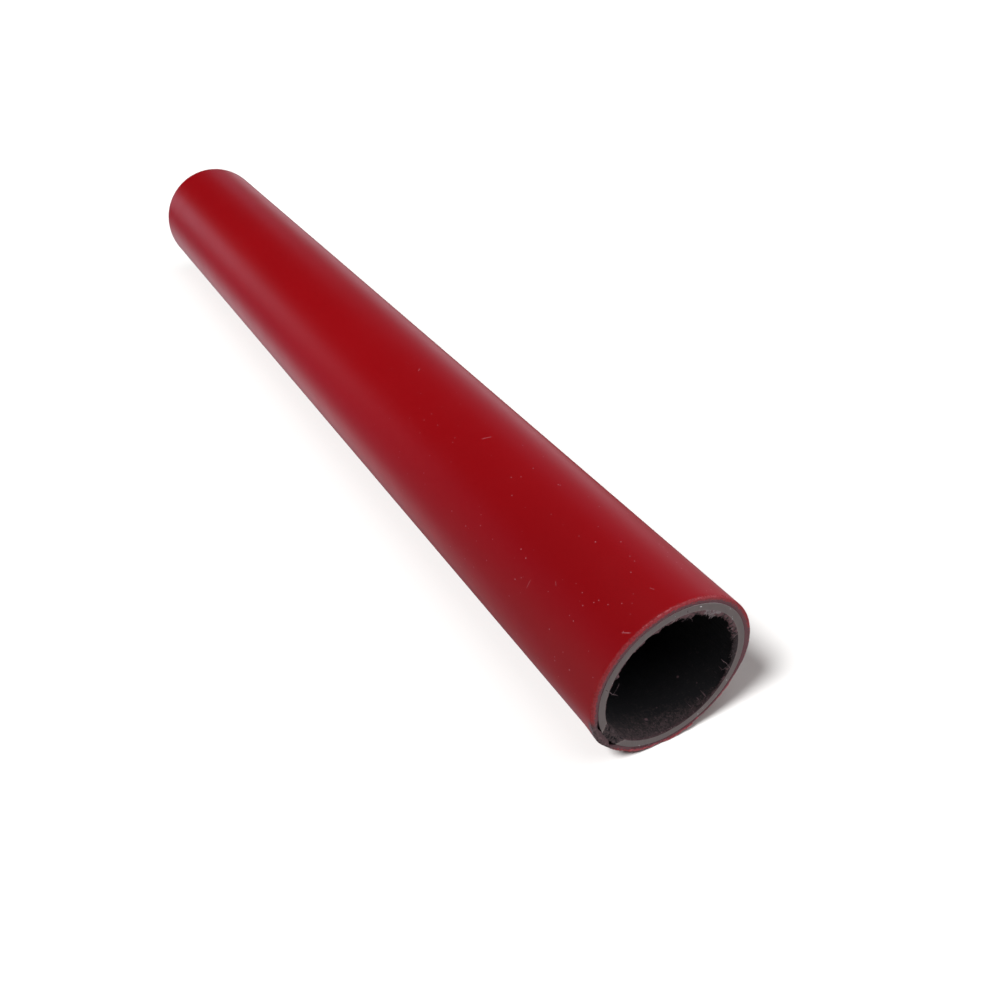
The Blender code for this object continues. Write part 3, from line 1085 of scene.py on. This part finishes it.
def world_light():
    """Soft light by direction. The camera itself sees plain white behind the floor."""
    studio = Studio()
    panels = [(studio.panel(*shape), strength, blue) for *shape, strength, blue in STUDIO_PANELS]
    room = studio.total([studio.times(light, strength) for light, strength, _ in panels])
    sky = studio.total([studio.times(light, strength * blue) for light, strength, blue in panels])
    channels = {0: studio.times(room, 0.97), 1: studio.times(room, 0.98), 2: sky}
    soft = studio.glow(studio.node("ShaderNodeCombineXYZ", channels).outputs[0], 1.0)
    lamps = studio.glow(LAMP_COLOUR, studio.total([studio.lobe(*values) for values in STUDIO_LOBES]))
    lighting = studio.node("ShaderNodeAddShader", {0: soft, 1: lamps}).outputs[0]
    backdrop = studio.glow((1.0, 1.0, 1.0), 1.0)
    is_camera = studio.node("ShaderNodeLightPath").outputs["Is Camera Ray"]
    chosen = studio.node("ShaderNodeMixShader", {0: is_camera, 1: lighting, 2: backdrop}).outputs[0]
    studio.node("ShaderNodeOutputWorld", {"Surface": chosen})


def floor():
    """A plain pale floor. The driver's reflections show the studio in its place."""
    corners = [(-1, -1), (1, -1), (1, 1), (-1, 1)]
    mesh = mesh_of("floor", [(FLOOR_HALF * x, FLOOR_HALF * y, 0) for x, y in corners], [(0, 1, 2, 3)])
    pale = bpy.data.materials.new("floor_pale")
    pale.use_nodes = True
    shader = pale.node_tree.nodes["Principled BSDF"]
    shader.inputs["Base Color"].default_value = (*FLOOR_COLOUR, 1.0)
    shader.inputs["Roughness"].default_value = 1.0
    shader.inputs["Specular IOR Level"].default_value = 0.0
    mesh.materials.append(pale)
    made = put_in_scene("floor", mesh)
    made.visible_glossy = False
    made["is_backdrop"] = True
    return made


def add_light(name, kind, settings, place, target, lit_objects):
    """Adds a light from place toward target that reaches only the given objects."""
    data = bpy.data.lights.new(name, kind)
    for key, value in settings.items():
        setattr(data, key, value)
    made = put_in_scene(name, data)
    made.location = place
    made.rotation_euler = (Vector(target) - Vector(place)).to_track_quat("-Z", "Y").to_euler()
    lit = bpy.data.collections.new("lit_by_" + name)
    for each in lit_objects:
        lit.objects.link(each)
    made.light_linking.receiver_collection = lit
    return made


def floor_light(lit_floor):
    """A soft sun on the floor only, from -Y and the mouth's side, so that the shadow lies toward +Y."""
    add_light("floor_light", "SUN", SUN, (0.0, 0.0, 0.0), SUN_HEADING, [lit_floor])


def end_light(metal):
    """A wide panel before the closed end, whose steel faces away from the other lights."""
    add_light("end_light", "AREA", END_PANEL, END_PLACE, (CLOSED_END, 0.0, AXIS_HEIGHT), metal)


def far_light(pieces):
    """A soft spot on the side and top of the far half."""
    spot = add_light("far_light", "SPOT", FAR_SPOT, FAR_PLACE, FAR_TARGET, pieces)
    spot.visible_glossy = False


def camera():
    """Sees the driver from beside and above its mouth."""
    data = bpy.data.cameras.new("camera")
    data.lens = CAMERA_LENS
    data.sensor_width = CAMERA_SENSOR
    data.shift_x, data.shift_y = CAMERA_SHIFT
    data.clip_start = 0.01
    made = put_in_scene("camera", data)
    made.location = Vector((MOUTH, 0.0, AXIS_HEIGHT)) + Vector(CAMERA_FROM_MOUTH)
    azimuth, elevation = radians(CAMERA_AZIMUTH), radians(CAMERA_ELEVATION)
    level = cos(elevation)
    back = Vector((sin(azimuth) * level, -cos(azimuth) * level, sin(elevation)))
    right = Vector((cos(azimuth), sin(azimuth), 0.0))
    turn = Matrix((right, back.cross(right), back)).transposed()
    made.rotation_euler = turn.to_euler()
    bpy.context.scene.camera = made


# ---- the scene

def build():
    """Adds every piece, and the light that only the metal pieces get."""
    steel, torn_steel, slug, weld = tube_material(), burr_material(), slug_material(), weld_material()
    add_piece("vinyl_sleeve_skin", sleeve_mesh(), vinyl_material(), "vinyl_sleeve", sharp=60)
    metal = [
        add_piece("driver_tube_skin", tube_mesh(), steel, "driver_tube", sharp=60),
        add_piece("striking_slug_skin", slug_mesh(), slug, "striking_slug", sharp=35),
        add_piece("slug_weld_bead", weld_mesh(), weld, "slug_weld"),
        add_piece("weld_spatter", spatter_mesh(), weld),
    ]
    shreds = many_slivers("sleeve_shreds", random.Random(5), SHRED_COUNT, SHRED_STRETCHES, vinyl_shred)
    add_piece("sleeve_shreds", shreds, shred_material(), sharp=40)
    slivers = many_slivers("burr_slivers", random.Random(6), BURR_COUNT, BURR_STRETCHES, steel_sliver)
    add_piece("burr_slivers", slivers, torn_steel, sharp=40)
    add_piece("swarf", swarf_mesh(), torn_steel, sharp=40)
    end_light(metal)


bpy.context.scene.view_settings.view_transform = "Standard"
camera()
world_light()
floor_light(floor())
build()
far_light(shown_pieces())
